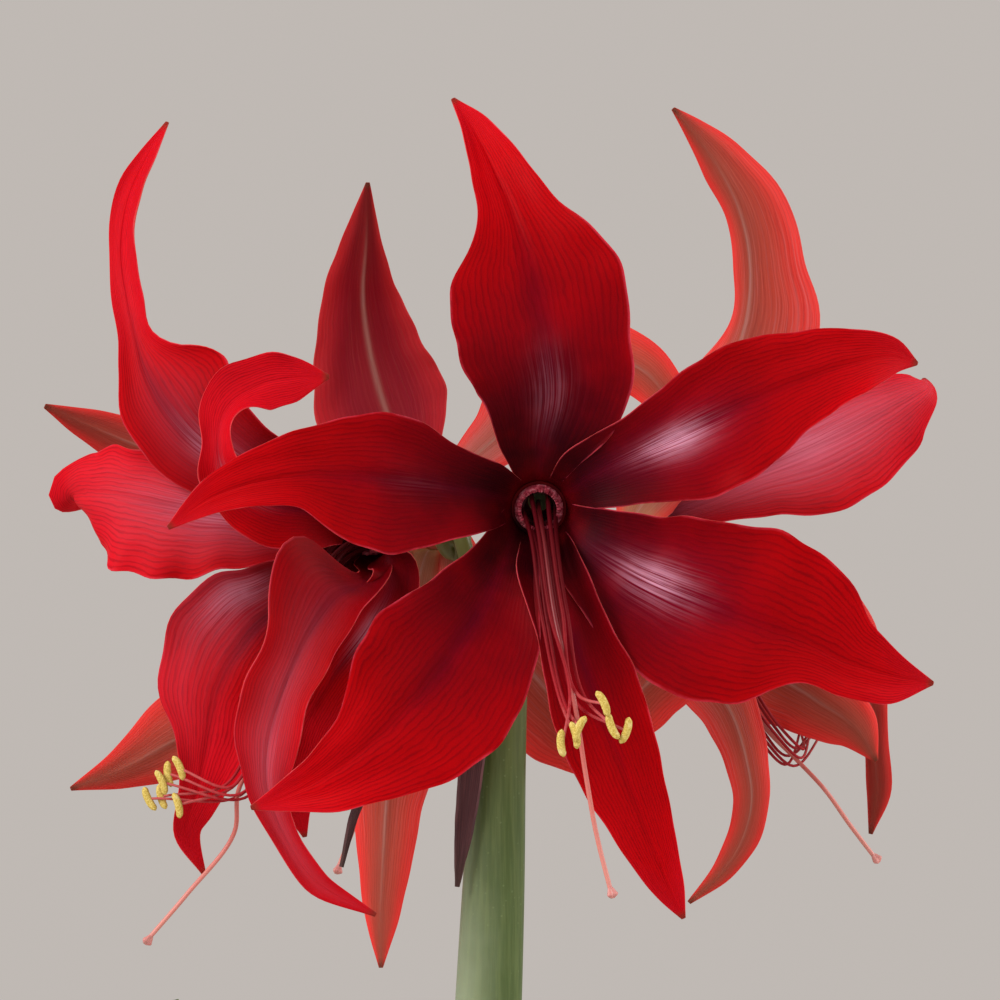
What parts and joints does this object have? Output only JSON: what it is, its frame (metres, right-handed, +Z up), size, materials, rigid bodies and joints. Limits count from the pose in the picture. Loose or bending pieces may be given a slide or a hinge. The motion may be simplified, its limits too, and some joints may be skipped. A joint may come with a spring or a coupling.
{
  "type": "amaryllis in a pot",
  "caption": "Potted flowering bulb: large red star-shaped blooms on one leafless stalk, strap leaves and a brown bulb in a plain clay pot.",
  "frame": {"origin": "centre of the pot's flat underside", "axes": "+Z up along the stalk, -Y towards the viewer that the front bloom faces, +X to that viewer's right"},
  "size_m": [0.2489, 0.257, 0.6534],
  "materials": {
    "tepal_red": "satin",
    "stamen": "satin",
    "style": "satin",
    "stalk_green": "satin",
    "leaf_green": "satin",
    "bract": "matte",
    "tunic": "matte",
    "soil": "matte",
    "clay": "matte"
  },
  "bodies": {
    "root": {"pot": "clay", "soil": "soil", "bulb": "tunic", "scape": "stalk_green", "leaf_left": "leaf_green", "leaf_right": "leaf_green", "leaf_back": "leaf_green", "leaf_front": "leaf_green", "spathe_valve_front": "bract", "spathe_valve_back": "bract", "perianth_front": "tepal_red", "perianth_left": "tepal_red", "perianth_back": "tepal_red", "perianth_right": "tepal_red", "stamens_front": "stamen", "stamens_left": "stamen", "stamens_back": "stamen", "stamens_right": "stamen", "pistil_front": "style", "pistil_left": "style", "pistil_back": "style", "pistil_right": "style", "pedicel_front": "stalk_green", "pedicel_left": "stalk_green", "pedicel_back": "stalk_green", "pedicel_right": "stalk_green"}
  },
  "joints": []
}
